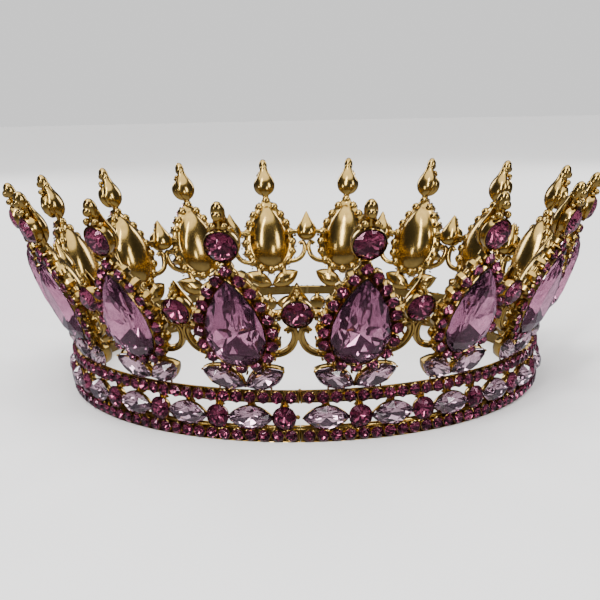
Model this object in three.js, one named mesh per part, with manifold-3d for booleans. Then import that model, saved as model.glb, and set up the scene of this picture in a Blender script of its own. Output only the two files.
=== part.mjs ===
// Round crystal crown: two identical cast half rings carry sixteen tall pear-shaped settings.
// Millimetres, +Z up, front towards -Y, base of the lower rail on z = 0.
import * as THREE from 'three';
import Module from 'manifold-3d';

const wasm = await Module();
wasm.setup();

// Overall sizes
const BASE_RADIUS = 72.0;          // front face of the two rows of small stones
const MODULES = 16;                // tall pear settings round the crown
const LEAN_DEG = 23.0;             // the settings lean outwards from upright
const GAP = 0.35;                  // clearance between every crystal and its seat

// Lower band: two rails with a row of large stones between them
const RAIL_HEIGHT = 3.3;
const RAIL_DEPTH = 3.0;
const LIP_SETBACK = 0.4;           // the rail's lips stop short of the small stones' fronts
const RAIL_LIP = BASE_RADIUS - LIP_SETBACK;
const RAIL_BACK = RAIL_LIP - RAIL_DEPTH;
const GROOVE_DEPTH = 1.1;
const GROOVE_EDGE = 0.25;
const LEDGE_HEIGHT = 1.5;          // plain ledge standing on the back of the lower rail
const LEDGE_THICK = 1.0;
const BAND_GAP = 7.0;              // open height between the two rails
const UPPER_RAIL_Z = RAIL_HEIGHT + BAND_GAP;
const BAND_CENTRE_Z = RAIL_HEIGHT + BAND_GAP / 2;
const RAIL_STEPS = 25;             // straight pieces in each half rail
const SMALL_PER_HALF = 65;         // small stones in one row of one half
const SMALL_FIRST_DEG = 1.8;       // first small stone, measured from the seam
const SMALL_HALF = 1.38;           // half height of a small stone
const SEAM_DEG = 0.7;              // half of the opening left for the solder
const SOLDER_BEAD_R = 0.7;

// Band stones: rounds and navettes take turns from the first round to the last navette
const PAIRS_PER_HALF = 13;
const FIRST_ROUND_DEG = 3.15;
const LAST_NAVETTE_DEG = 5.24;     // short of the other seam
const BAND_STEP_DEG = (180 - FIRST_ROUND_DEG - LAST_NAVETTE_DEG) / (2 * PAIRS_PER_HALF - 1);
const SEAT_SETBACK = 0.6;          // the seats stand in front of the rail's back
const SEAT_THICK = 1.2;
const SEAT_R = RAIL_BACK + SEAT_SETBACK;
const BAND_STONE_R = SEAT_R + SEAT_THICK + GAP;
const BAND_STONE_DEPTH = 2.1;
const BAND_STONE_MARGIN = 0.6;     // open height above and below a band stone
const ROUND_RADIUS = BAND_GAP / 2 - BAND_STONE_MARGIN;
const NAVETTE_WIDTH = 2 * (ROUND_RADIUS - 0.1);
const TIP_LAP = 0.33;              // how far a navette's tip runs into the round beside it
const BAND_CHORD = 2 * BAND_STONE_R * Math.sin(BAND_STEP_DEG * Math.PI / 360);
const NAVETTE_LENGTH = 2 * (BAND_CHORD - ROUND_RADIUS + TIP_LAP);
const POST_WIDTH = 1.6;

// Leaves: two navettes on the upper rail below each pear. The leaning plane has x across, y up, n outwards.
const LEAN = LEAN_DEG * Math.PI / 180;
const SETTING_SETBACK = 1.2;
const SETTING_RISE = 4.9;          // origin of the leaning plane above the upper rail
const ORIGIN_Z = UPPER_RAIL_Z + RAIL_HEIGHT + SETTING_RISE;
const MODULE_RADIUS = BASE_RADIUS - SETTING_SETBACK;
const LEAF_LENGTH = 11.2;
const LEAF_WIDTH = 5.6;
const LEAF_TILT_DEG = 20.0;
const LEAF_SEAT_FRONT = 0.5;
const LEAF_SEAT_BACK = -1.2;
const LEAF_CROWN = 2.45;           // depth of a leaf crystal
const BRIDGE_HEIGHT = 2.2;         // bridge from the small stones up to a leaf crystal
const LEAF_X = LEAF_LENGTH / 2 * Math.cos(LEAF_TILT_DEG * Math.PI / 180) + 0.34;
const LEAF_FOOT = 0.2;             // a leaf crystal's lowest edge above the rail, beyond the gap
const LEAF_CLEAR = (LEAF_FOOT + GAP - SETTING_RISE) / Math.cos(LEAN);
const LEAF_Y = LEAF_CLEAR + (LEAF_SEAT_FRONT + GAP) * Math.tan(LEAN) + LEAF_WIDTH * 0.5;

// Pear setting
const PEAR_WIDTH = 14.6;
const PEAR_LENGTH = 24.6;
const PEAR_BOTTOM_Y = 2.8;
const PEAR_CENTRE_Y = PEAR_BOTTOM_Y + PEAR_LENGTH / 2;
const HALO_WIDTH = PEAR_WIDTH + 3.7;      // line through the centres of the halo stones
const HALO_LENGTH = PEAR_LENGTH + 3.8;
const HALO_CENTRE_Y = PEAR_CENTRE_Y + 0.5;
const HALO_STONES = 18;
const HALO_BUMP = 1.45;            // how far each halo seat stands out of the line
const HALO_VALLEY = 0.3;
const PLATE_BACK = -1.4;
const PLATE_FRONT = 1.6;
const PEAR_PAVILION = 3.2;         // depth of a pear crystal behind its girdle
const PEAR_CROWN = 2.5;
const DOME_DEPTH = 3.4;

// Crest above the pear, link between two pears
const NECK_WIDTH = 2.6;
const NECK_LENGTH = 3.65;          // from the halo line up to the bezel
const BEZEL_FRONT = 1.3;
const BEZEL_WALL = 0.75;           // bezel showing round a stone
const ROUND_CROWN = 1.5;
const CREST_STONE_R = 3.6;
const CREST_BEZEL_R = CREST_STONE_R + BEZEL_WALL;
const CREST_Y = HALO_CENTRE_Y + HALO_LENGTH / 2 + NECK_LENGTH + CREST_BEZEL_R - 0.8;
const BEAD_R = 1.15;
const FINIAL_LENGTH = 3.85;
const LINK_SETBACK = 1.0;          // the link lies behind the pear settings
const LINK_RADIUS = MODULE_RADIUS - LINK_SETBACK;
const LINK_STONE_R = 3.25;
const LINK_BEZEL_R = LINK_STONE_R + BEZEL_WALL;
const LINK_Y = HALO_CENTRE_Y + 2.0;
const LEG_DROP = 12.4;             // a leg's end below the middle of its link
const LEG_WIDTH = 1.7;
const LEG_LAP = 1.8;               // how far an arm or a leg runs into a halo
const FREE_GAP = 0.5;              // an arm or leg at a seam stops this far from the other half

const rad = THREE.MathUtils.degToRad;
const v3 = (x, y, z) => new THREE.Vector3(x, y, z);

// ---------- building blocks ----------

// Closed solid through rings with equal point counts. A star-shaped end is capped about its middle.
function loft(rings, star = false) {
  const n = rings[0].length;
  const pos = [];
  for (const ring of rings) {
    for (const p of ring) pos.push(p.x, p.y, p.z);
  }
  const idx = [];
  for (let r = 0; r + 1 < rings.length; r++) {
    for (let i = 0; i < n; i++) {
      const a = r * n + i;
      const b = r * n + (i + 1) % n;
      idx.push(a, b, b + n, a, b + n, a + n);
    }
  }
  for (const [start, flip] of [[0, true], [(rings.length - 1) * n, false]]) {
    const ring = rings[start / n];
    const c = star ? pos.length / 3 : start;
    if (star) {
      const mid = ring.reduce((s, p) => s.add(p), v3(0, 0, 0)).divideScalar(n);
      pos.push(mid.x, mid.y, mid.z);
    }
    for (let i = star ? 0 : 1; i < (star ? n : n - 1); i++) {
      const a = start + i;
      const b = start + (i + 1) % n;
      if (flip) idx.push(c, b, a);
      else idx.push(c, a, b);
    }
  }
  return solid(pos, idx);
}

// Manifold from plain arrays, turned the right way out.
function solid(pos, idx) {
  let six = 0;
  for (let i = 0; i < idx.length; i += 3) {
    const [a, b, c] = [0, 1, 2].map((k) => v3(...pos.slice(3 * idx[i + k], 3 * idx[i + k] + 3)));
    six += a.dot(b.cross(c));
  }
  const tri = [...idx];
  if (six < 0) {
    for (let i = 0; i < tri.length; i += 3) [tri[i + 1], tri[i + 2]] = [tri[i + 2], tri[i + 1]];
  }
  const mesh = new wasm.Mesh({
    numProp: 3,
    vertProperties: new Float32Array(pos),
    triVerts: new Uint32Array(tri),
  });
  return new wasm.Manifold(mesh);
}

// Prism or frustum: a flat outline [[x, y], ...] drawn at several depths with its own scale at each.
function stack(outline, levels, cx = 0, cy = 0, star = false) {
  return loft(levels.map(([n, k]) => outline.map(([x, y]) => v3(cx + x * k, cy + y * k, n))), star);
}

function box(x0, x1, y0, y1, z0, z1) {
  return stack([[x0, y0], [x1, y0], [x1, y1], [x0, y1]], [[z0, 1], [z1, 1]]);
}

function joinAll(list) {
  return list.reduce((a, b) => a.add(b));
}

function polygon(radius, count) {
  return Array.from({ length: count }, (_, i) => {
    const a = 2 * Math.PI * i / count;
    return [radius * Math.cos(a), radius * Math.sin(a)];
  });
}

// Pear outline with its point upwards, as [x, y] about its own middle.
function pear(width, length, count) {
  const side = (t) => Math.sin(t) * Math.sin(t / 2) ** 0.7;
  const peak = side(1.86);
  return Array.from({ length: count }, (_, i) => {
    const t = 2 * Math.PI * i / count;
    const x = -side(Math.min(t, 2 * Math.PI - t)) / peak * (width / 2) * Math.sign(Math.sin(t) || 1);
    return [Math.abs(Math.sin(t)) < 1e-9 ? 0 : x, Math.cos(t) * length / 2];
  });
}

// Navette outline: two arcs meeting in a point at each end.
function navette(length, width) {
  const upper = [[0.5, 0], [0.2, 0.46], [-0.2, 0.46]];
  const pts = upper.concat(upper.map(([x, y]) => [-x, -y]));
  return pts.map(([x, y]) => [x * length, y * width]);
}

// Small faceted bead: five sides meeting in a point at each end.
function bead(x, y, z, r) {
  const rim = polygon(r, 5).map(([a, b]) => v3(x + a, y + b, z));
  const pos = [...rim, v3(x, y, z + r), v3(x, y, z - r)].flatMap((p) => [p.x, p.y, p.z]);
  const idx = rim.flatMap((_, i) => [i, (i + 1) % 5, 5, (i + 1) % 5, i, 6]);
  return solid(pos, idx);
}

// Straight-sided rod through a list of points, with a width at each.
function rod(points) {
  const rings = points.map(([x, y, n, w], i) => {
    const prev = points[Math.max(i - 1, 0)];
    const next = points[Math.min(i + 1, points.length - 1)];
    const dir = v3(next[0] - prev[0], next[1] - prev[1], 0).normalize();
    const side = v3(-dir.y, dir.x, 0);
    const corners = [[-0.5, -0.6], [0.5, -0.6], [0.5, 0.6], [-0.5, 0.6]];
    return corners.map(([a, b]) => v3(x + side.x * a * w, y + side.y * a * w, n + b * w));
  });
  return loft(rings);
}

// Matrix of the leaning plane at an angle from the front, positive towards +X.
function leanFrame(deg, radius) {
  const a = rad(deg);
  const out = v3(Math.sin(a), -Math.cos(a), 0);
  const across = v3(Math.cos(a), Math.sin(a), 0);
  const up = out.clone().multiplyScalar(Math.sin(LEAN)).add(v3(0, 0, Math.cos(LEAN)));
  const normal = out.clone().multiplyScalar(Math.cos(LEAN)).sub(v3(0, 0, Math.sin(LEAN)));
  const m = new THREE.Matrix4().makeBasis(across, up, normal);
  return m.setPosition(out.multiplyScalar(radius).add(v3(0, 0, ORIGIN_Z)));
}

// Matrix of an upright plane at an angle from the front, n measured from the radius given.
function uprightFrame(deg, radius, z) {
  const a = rad(deg);
  const out = v3(Math.sin(a), -Math.cos(a), 0);
  const m = new THREE.Matrix4().makeBasis(v3(Math.cos(a), Math.sin(a), 0), v3(0, 0, 1), out);
  return m.setPosition(out.multiplyScalar(radius).add(v3(0, 0, z)));
}

const moved = (body, matrix) => body.transform([...matrix.elements]);
const polar = (r, deg, z) => v3(r * Math.sin(rad(deg)), -r * Math.cos(rad(deg)), z);

// Rail: a section [[radius, z], ...] carried round from one seam to the other, on the left of the crown.
function rail(section, steps) {
  const rings = [];
  for (let i = 0; i <= steps; i++) {
    const s = SEAM_DEG + (180 - 2 * SEAM_DEG) * i / steps;
    rings.push(section.map(([r, z]) => polar(r, -s, z)));
  }
  return loft(rings);
}

function grooved(z, ledge) {
  const mid = RAIL_HEIGHT / 2;
  const floor = RAIL_LIP - GROOVE_DEPTH;
  const section = [
    [RAIL_BACK, 0],
    [RAIL_LIP, 0],
    [RAIL_LIP, GROOVE_EDGE],
    [floor, mid],
    [RAIL_LIP, RAIL_HEIGHT - GROOVE_EDGE],
    [RAIL_LIP, RAIL_HEIGHT],
  ];
  if (ledge) {
    section.push([RAIL_BACK + LEDGE_THICK, RAIL_HEIGHT]);
    section.push([RAIL_BACK + LEDGE_THICK, RAIL_HEIGHT + LEDGE_HEIGHT]);
    section.push([RAIL_BACK, RAIL_HEIGHT + LEDGE_HEIGHT]);
  } else {
    section.push([RAIL_BACK, RAIL_HEIGHT]);
  }
  return section.map(([r, h]) => [r, z + h]);
}

// ---------- one pear setting of the casting, in its leaning plane ----------

const haloLine = pear(HALO_WIDTH, HALO_LENGTH, 360).map(([x, y]) => [x, y + HALO_CENTRE_Y]);

function haloOutline() {
  const fine = haloLine;
  const run = [0];
  for (let i = 1; i <= fine.length; i++) {
    const [x0, y0] = fine[i - 1];
    const [x1, y1] = fine[i % fine.length];
    run.push(run[i - 1] + Math.hypot(x1 - x0, y1 - y0));
  }
  const total = run[run.length - 1];
  const at = (u) => {
    const want = ((u % 1) + 1) % 1 * total;
    let i = 0;
    while (run[i + 1] < want) i++;
    const f = (want - run[i]) / (run[i + 1] - run[i]);
    const [x0, y0] = fine[i % fine.length];
    const [x1, y1] = fine[(i + 1) % fine.length];
    return [x0 + (x1 - x0) * f, y0 + (y1 - y0) * f];
  };
  const pts = [];
  for (let k = 0; k < HALO_STONES; k++) {
    for (const [shift, out] of [[0, HALO_BUMP], [0.5, HALO_VALLEY]]) {
      const u = (k + shift) / HALO_STONES;
      const [x, y] = at(u);
      const [xa, ya] = at(u - 0.01);
      const [xb, yb] = at(u + 0.01);
      const len = Math.hypot(xb - xa, yb - ya);
      pts.push([x + (yb - ya) / len * out, y - (xb - xa) / len * out]);
    }
  }
  return pts;
}

function settingCasting() {
  const plate = stack(haloOutline(), [[PLATE_BACK, 1], [PLATE_FRONT, 1]], 0, 0, true);
  const domeLevels = [
    [PLATE_BACK + 0.4, 0.98],
    [PLATE_BACK - DOME_DEPTH * 0.6, 0.8],
    [PLATE_BACK - DOME_DEPTH, 0.4],
  ];
  const dome = stack(pear(PEAR_WIDTH, PEAR_LENGTH, 10), domeLevels, 0, PEAR_CENTRE_Y);
  const pocketLine = pear(PEAR_WIDTH + 2.4 * GAP, PEAR_LENGTH + 3.4 * GAP, 10);
  const pocketFloor = PLATE_FRONT - PEAR_PAVILION;
  const pocket = stack(pocketLine, [[pocketFloor, 0.5], [PLATE_FRONT + 1, 1.12]], 0, PEAR_CENTRE_Y);

  const neckFoot = HALO_CENTRE_Y + HALO_LENGTH / 2;
  const neckTop = neckFoot + NECK_LENGTH;
  const neck = box(-NECK_WIDTH / 2, NECK_WIDTH / 2, neckFoot, neckTop, -1.1, 1.1);
  const bezelLevels = [[-3.6, 0.3], [-1.4, 0.9], [BEZEL_FRONT, 1]];
  const bezel = stack(polygon(CREST_BEZEL_R, 8), bezelLevels, 0, CREST_Y);
  const beadY = CREST_Y + CREST_BEZEL_R + 0.4;
  const drop = [[-0.8, 0.6], [1.8, 1.5], [FINIAL_LENGTH, 0.15]];
  const finial = loft(drop.map(([up, r]) => polygon(r, 5).map(([a, b]) => v3(a, beadY + up, -b + 0.4))));
  const crest = joinAll([
    neck,
    bezel,
    bead(-BEAD_R * 1.35, beadY, 0.4, BEAD_R),
    bead(BEAD_R * 1.35, beadY, 0.4, BEAD_R),
    finial,
  ]);
  const seats = [-1, 1].map((side) => leafSeat(side));
  return joinAll([plate, dome, ...seats]).subtract(pocket).add(crest);
}

// Flat seat behind one leaf: it reaches up into the halo plate and down into the upper rail.
function leafSeat(side) {
  const down = (SETTING_RISE + 0.8) / Math.cos(LEAN);
  const line = [
    [0.3, LEAF_Y - 1.9],
    [LEAF_X - 2.6, -down],
    [LEAF_X - 0.4, -down],
    [LEAF_X + LEAF_LENGTH * 0.46, LEAF_Y + LEAF_LENGTH * 0.16],
    [LEAF_X + 0.2, PEAR_BOTTOM_Y + 2.0],
    [LEAF_X - 2.8, LEAF_Y + 2.4],
  ];
  const levels = [[LEAF_SEAT_BACK, 1], [LEAF_SEAT_FRONT, 1]];
  return stack(line.map(([x, y]) => [side * x, y]), levels, 0, 0, true);
}

// Outline of one leaf navette, turned to rise away from the middle of its setting.
function leafLine(side) {
  const a = rad(LEAF_TILT_DEG) * side;
  return navette(LEAF_LENGTH, LEAF_WIDTH).map(([x, y]) => [
    x * Math.cos(a) - y * Math.sin(a),
    x * Math.sin(a) + y * Math.cos(a),
  ]);
}

// ---------- one link of the casting, tying two neighbouring halos ----------

// Half breadth of a halo at a height on the leaning plane.
function haloHalf(y) {
  const side = haloLine.filter(([x]) => x > 0);
  const near = side.reduce((a, b) => (Math.abs(b[1] - y) < Math.abs(a[1] - y) ? b : a));
  return near[0];
}

// Distance from a link's middle to the edge of the halo beside it, at a height on the leaning plane.
function haloDistance(y) {
  const r = MODULE_RADIUS + y * Math.sin(LEAN);
  const half = Math.PI / MODULES;
  return (r * Math.sin(half) - haloHalf(y)) / Math.cos(half);
}

function linkCasting(leftIsFree) {
  const bezelLevels = [[-3.2, 0.3], [-1.2, 0.85], [BEZEL_FRONT, 1]];
  const bezel = stack(polygon(LINK_BEZEL_R, 8), bezelLevels, 0, LINK_Y);
  const lap = (free) => (free ? -FREE_GAP - HALO_BUMP : LEG_LAP);
  const armEnd = (free) => haloDistance(LINK_Y) + lap(free);
  const legEnd = (free) => haloDistance(LINK_Y - LEG_DROP) + lap(free);
  const arm = box(-armEnd(leftIsFree), armEnd(false), LINK_Y - 1.0, LINK_Y + 0.8, -0.9, 0.8);
  const wishbone = rod([
    [-legEnd(leftIsFree), LINK_Y - LEG_DROP, -0.1, LEG_WIDTH * 0.8],
    [-1.6, LINK_Y - LEG_DROP + 2.8, -0.1, LEG_WIDTH],
    [0, LINK_Y - LINK_BEZEL_R - 0.2, -0.1, LEG_WIDTH],
    [1.6, LINK_Y - LEG_DROP + 2.8, -0.1, LEG_WIDTH],
    [legEnd(false), LINK_Y - LEG_DROP, -0.1, LEG_WIDTH * 0.8],
  ]);
  return joinAll([bezel, arm, wishbone, bead(0, LINK_Y + LINK_BEZEL_R + 0.4, 0.2, 1.0)]);
}

// ---------- half ring casting, built on the left and turned half a turn for the right ----------

const bandStones = [];
for (let k = 0; k < PAIRS_PER_HALF; k++) {
  bandStones.push({
    deg: FIRST_ROUND_DEG + 2 * k * BAND_STEP_DEG,
    line: polygon(ROUND_RADIUS, 8),
    half: ROUND_RADIUS,
  });
  bandStones.push({
    deg: FIRST_ROUND_DEG + (2 * k + 1) * BAND_STEP_DEG,
    line: navette(NAVETTE_LENGTH, NAVETTE_WIDTH),
    half: NAVETTE_LENGTH / 2,
  });
}

// Seat behind one band stone, narrowing to the post that holds up the upper rail.
function bandSeat(half) {
  const top = BAND_GAP / 2 + 0.3;
  const foot = LEDGE_HEIGHT - BAND_GAP / 2 - 0.3;
  const line = [
    [-half * 0.75, foot],
    [half * 0.75, foot],
    [POST_WIDTH / 2, top],
    [-POST_WIDTH / 2, top],
  ];
  return stack(line, [[0, 1], [SEAT_THICK, 1]]);
}

function halfFrame() {
  const pieces = [rail(grooved(0, true), RAIL_STEPS), rail(grooved(UPPER_RAIL_Z, false), RAIL_STEPS)];
  for (const { deg, half } of bandStones) {
    pieces.push(moved(bandSeat(half), uprightFrame(-deg, SEAT_R, BAND_CENTRE_Z)));
  }
  const setting = settingCasting();
  const step = 360 / MODULES;
  for (let k = 0; k < MODULES / 2; k++) {
    pieces.push(moved(setting, leanFrame(-(k + 0.5) * step, MODULE_RADIUS)));
    const last = k === MODULES / 2 - 1;
    pieces.push(moved(linkCasting(last), leanFrame(-(k + 1) * step, LINK_RADIUS)));
  }
  return joinAll(pieces);
}

// ---------- crystals ----------

const girdle = PLATE_FRONT + GAP + 0.15;
const pearLevels = [[girdle - PEAR_PAVILION, 0.45], [girdle, 1], [girdle + PEAR_CROWN, 0.62]];
const pearCrystal = stack(pear(PEAR_WIDTH, PEAR_LENGTH, 10), pearLevels, 0, PEAR_CENTRE_Y);
const roundLevels = [[BEZEL_FRONT + GAP, 1], [BEZEL_FRONT + GAP + ROUND_CROWN, 0.62]];
const roundCrystal = (radius) => stack(polygon(radius, 8), roundLevels);

// Row of small stones edge to edge, sharing one thin waist between each pair; the backs run to one ridge.
function smallRow(z) {
  const pitch = (180 - 2 * SMALL_FIRST_DEG) / (SMALL_PER_HALF - 1);
  const waist = SMALL_HALF * 0.55;
  const ridge = RAIL_LIP - GROOVE_DEPTH + GAP;
  const pos = [];
  const point = (r, deg, h) => pos.push(...polar(r, -deg, z + h).toArray()) / 3 - 1;
  const face = (deg, h) => [point(BASE_RADIUS, deg, -h), point(BASE_RADIUS, deg, h)];
  const idx = [];
  const first = SMALL_FIRST_DEG - 0.45 * pitch;
  let edge = face(first, waist);
  let back = point(ridge, first, 0);
  idx.push(edge[0], edge[1], back);
  for (let k = 0; k < SMALL_PER_HALF; k++) {
    const mid = SMALL_FIRST_DEG + k * pitch;
    const last = k === SMALL_PER_HALF - 1;
    for (const [shift, h] of [[-0.2, SMALL_HALF], [0.2, SMALL_HALF], [last ? 0.45 : 0.5, waist]]) {
      const next = face(mid + shift * pitch, h);
      idx.push(edge[0], next[0], next[1], edge[0], next[1], edge[1]);
      idx.push(edge[1], next[1], back, next[0], edge[0], back);
      edge = next;
    }
    const onward = point(ridge, mid + (last ? 0.45 : 0.5) * pitch, 0);
    idx.push(edge[1], onward, back, edge[0], back, onward);
    back = onward;
  }
  idx.push(edge[1], edge[0], back);
  return solid(pos, idx);
}

// The leaf navettes stand on the upper row of small stones, each held to it by one small bridge.
function upperRow() {
  const pieces = [smallRow(UPPER_RAIL_Z + RAIL_HEIGHT / 2)];
  const step = 360 / MODULES;
  for (let k = 0; k < MODULES / 2; k++) {
    const frame = leanFrame(-(k + 0.5) * step, MODULE_RADIUS);
    for (const side of [-1, 1]) {
      const levels = [[LEAF_SEAT_FRONT + GAP, 1], [LEAF_SEAT_FRONT + GAP + LEAF_CROWN, 0.7]];
      const leaf = stack(leafLine(side), levels, side * LEAF_X, LEAF_Y);
      pieces.push(moved(leaf, frame));
      const deg = (k + 0.5) * step - side * THREE.MathUtils.radToDeg(Math.atan(LEAF_X / BASE_RADIUS));
      const foot = uprightFrame(-deg, RAIL_LIP + GAP, UPPER_RAIL_Z + RAIL_HEIGHT);
      pieces.push(moved(box(-0.6, 0.6, -1.2, BRIDGE_HEIGHT, 0, 0.7), foot));
    }
  }
  return joinAll(pieces);
}

// Rounds and navettes of the band, tip to edge all the way round the half.
function bandRow() {
  return joinAll(bandStones.map(({ deg, line }) => {
    const stone = stack(line, [[0, 1], [BAND_STONE_DEPTH, 0.62]]);
    return moved(stone, uprightFrame(-deg, BAND_STONE_R, BAND_CENTRE_Z));
  }));
}

// ---------- assembly ----------

const crown = new THREE.Group();
crown.name = 'crown';

function addPart(name, body, material) {
  const mesh = body.getMesh();
  const geometry = new THREE.BufferGeometry();
  geometry.setAttribute('position', new THREE.BufferAttribute(Float32Array.from(mesh.vertProperties), 3));
  geometry.setIndex(new THREE.BufferAttribute(Uint32Array.from(mesh.triVerts), 1));
  geometry.computeVertexNormals();
  const part = new THREE.Mesh(geometry, new THREE.MeshStandardMaterial(material));
  part.name = name;
  crown.add(part);
}

const GOLD = { color: 0xb79b62, metalness: 1.0, roughness: 0.25 };
const SOLDER = { color: 0xa08a5c, metalness: 1.0, roughness: 0.4 };
const PEAR_GLASS = { color: 0xb08796, metalness: 0.0, roughness: 0.05 };
const ROSE_GLASS = { color: 0x7c2f4b, metalness: 0.0, roughness: 0.05 };
const PALE_GLASS = { color: 0xb3a0a6, metalness: 0.0, roughness: 0.05 };

const halfTurn = new THREE.Matrix4().makeRotationZ(Math.PI);
const halves = { left: new THREE.Matrix4(), right: halfTurn };
const castings = halfFrame();
const lowerStones = smallRow(RAIL_HEIGHT / 2);
const upperStones = upperRow();
const bandStoneRow = bandRow();
for (const [side, matrix] of Object.entries(halves)) {
  addPart(`frame_half_${side}`, moved(castings, matrix), GOLD);
  addPart(`lower_small_stone_row_${side}`, moved(lowerStones, matrix), ROSE_GLASS);
  addPart(`upper_small_stone_row_with_leaves_${side}`, moved(upperStones, matrix), ROSE_GLASS);
  addPart(`band_stone_row_${side}`, moved(bandStoneRow, matrix), PALE_GLASS);
}

// Solder: a block fills each rail's seam and ends in a small bead on top.
const seamHalf = RAIL_BACK * Math.tan(rad(SEAM_DEG)) - GAP;
for (const [end, deg] of [['front', 0], ['back', 180]]) {
  for (const [level, z] of [['lower', 0], ['upper', UPPER_RAIL_Z]]) {
    const block = box(-seamHalf, seamHalf, 0.2, RAIL_HEIGHT, 0, RAIL_DEPTH);
    const solder = block.add(bead(0, RAIL_HEIGHT + 0.2, RAIL_DEPTH / 2, SOLDER_BEAD_R));
    addPart(`solder_${end}_${level}`, moved(solder, uprightFrame(deg, RAIL_BACK, z)), SOLDER);
  }
}

const crestStone = roundCrystal(CREST_STONE_R);
const linkStone = roundCrystal(LINK_STONE_R);
const upLean = (y) => new THREE.Matrix4().makeTranslation(0, y, 0);
for (let k = 0; k < MODULES; k++) {
  const label = String(k + 1).padStart(2, '0');
  const setting = leanFrame((k + 0.5) * 360 / MODULES, MODULE_RADIUS);
  const link = leanFrame(k * 360 / MODULES, LINK_RADIUS);
  const crest = setting.clone().multiply(upLean(CREST_Y));
  addPart(`pear_crystal_${label}`, moved(pearCrystal, setting), PEAR_GLASS);
  addPart(`crest_round_crystal_${label}`, moved(crestStone, crest), ROSE_GLASS);
  addPart(`link_round_crystal_${label}`, moved(linkStone, link.multiply(upLean(LINK_Y))), ROSE_GLASS);
}

export default crown;
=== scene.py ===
# Looks of the round crystal crown: gold-plated castings and foil-backed glass crystals.
# Sizes are in millimetres, as on a jeweller's sheet, and meshes are written in metres.
# Settings, crests, leaves and links are drawn in their own plane: x across, y up and n out of its face.
# The plane starts at the height SETTING_Z and leans outwards by LEAN.
import math
import bpy
import numpy as np
from mathutils import Matrix, Vector


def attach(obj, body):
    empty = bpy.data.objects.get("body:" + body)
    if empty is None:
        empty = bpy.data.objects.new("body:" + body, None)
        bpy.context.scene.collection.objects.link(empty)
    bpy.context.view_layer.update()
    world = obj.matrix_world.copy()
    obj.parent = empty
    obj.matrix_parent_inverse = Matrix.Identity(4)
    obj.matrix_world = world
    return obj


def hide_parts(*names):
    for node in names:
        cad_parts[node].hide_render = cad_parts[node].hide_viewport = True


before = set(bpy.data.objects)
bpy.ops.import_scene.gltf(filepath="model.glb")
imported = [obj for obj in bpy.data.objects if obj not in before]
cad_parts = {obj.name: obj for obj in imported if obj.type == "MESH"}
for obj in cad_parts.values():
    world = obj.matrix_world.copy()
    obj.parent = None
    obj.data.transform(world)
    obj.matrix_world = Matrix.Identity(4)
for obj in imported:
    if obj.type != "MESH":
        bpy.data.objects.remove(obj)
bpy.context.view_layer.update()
MM = 0.001

# ---------- sizes shared with the castings ----------
BASE_R = 72.0
LEAN = math.radians(23.0)
RAIL_H, BAND_GAP = 3.3, 7.0
UPPER_Z = RAIL_H + BAND_GAP - 0.35
BAND_Z = RAIL_H + BAND_GAP / 2 - 0.45
RAIL_BACK, RAIL_FACE = 70.0, 70.5
SETTING_R, SETTING_Z = 70.8, 18.5
LINK_R = SETTING_R - 1.0
PEAR_W, PEAR_L, PEAR_Y = 15.0, 24.9, 15.1
HALO_W, HALO_L, HALO_Y = 18.3, 28.4, 15.6
HALO_STONES = 18
CREST_Y, CREST_R = 36.4, 3.8
LINK_Y, LINK_STONE_R = 17.4, 3.65
LEAF_X, LEAF_Y, LEAF_TILT = 5.25, -2.1, math.radians(26.0)
LEAF_L, LEAF_W = 11.6, 6.3
BAND_SEAT_R = 71.2
ROUND_R, NAVETTE_L, NAVETTE_W = 3.1, 11.6, 6.3
SMALL_R = 1.64

# ---------- rows round the crown ----------
# A row is the count in one half, then the first angle and the step, in degrees from that half's seam.
SETTINGS_PER_HALF, BAND_PER_HALF, SMALL_PER_HALF = 8, 13, 65
SETTING_STEP = 180 / SETTINGS_PER_HALF
SETTING_ROW = (SETTINGS_PER_HALF, SETTING_STEP / 2, SETTING_STEP)
LINK_ROW = (SETTINGS_PER_HALF, SETTING_STEP, SETTING_STEP)
BAND_FIRST, BAND_LAST = 3.15, 5.24
BAND_STEP = (180 - BAND_FIRST - BAND_LAST) / (2 * BAND_PER_HALF - 1)
BAND_ROUND_ROW = (BAND_PER_HALF, BAND_FIRST, 2 * BAND_STEP)
BAND_NAVETTE_ROW = (BAND_PER_HALF, BAND_FIRST + BAND_STEP, 2 * BAND_STEP)
SMALL_FIRST = 1.8
SMALL_ROW = (SMALL_PER_HALF, SMALL_FIRST, (180 - 2 * SMALL_FIRST) / (SMALL_PER_HALF - 1))
SEAM_ROW = (1, 0.0, 1.0)
SEAM_STUB_ROW = (1, 0.45, 1.0)
STRIP_END_ROW = (2, 0.28, 179.44)


# ---------- outlines ----------
def circle(r, n):
    """Round outline of n points."""
    return [(r * math.cos(2 * math.pi * i / n), r * math.sin(2 * math.pi * i / n)) for i in range(n)]


def pear(w, l, n, cy=0.0):
    """Drop outline with its point upwards and its half height at cy."""
    def side(t):
        return math.sin(t) * math.sin(t / 2) ** 0.7
    widest = side(1.86)
    pts = []
    for i in range(n):
        t = 2 * math.pi * i / n
        x = side(t) if t <= math.pi else -side(2 * math.pi - t)
        pts.append((-x / widest * w / 2, cy + math.cos(t) * l / 2))
    return pts


def navette(l, w, n):
    """Long outline with a point at each end."""
    pts = []
    for i in range(n):
        t = 2 * math.pi * i / n
        x = math.cos(t)
        y = 0.0 if i in (0, n // 2) else math.copysign((1 - x * x) ** 0.85, math.sin(t))
        pts.append((x * l / 2, y * w / 2))
    return pts


def turned(pts, angle, cx=0.0, cy=0.0):
    """Points turned about the origin, then moved by (cx, cy)."""
    c, s = math.cos(angle), math.sin(angle)
    return [(cx + x * c - y * s, cy + x * s + y * c) for x, y in pts]


def drawn_in(pts, k, cx, cy):
    """Points drawn in towards (cx, cy), to a share k of their way from it."""
    return [(cx + (x - cx) * k, cy + (y - cy) * k) for x, y in pts]


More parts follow.
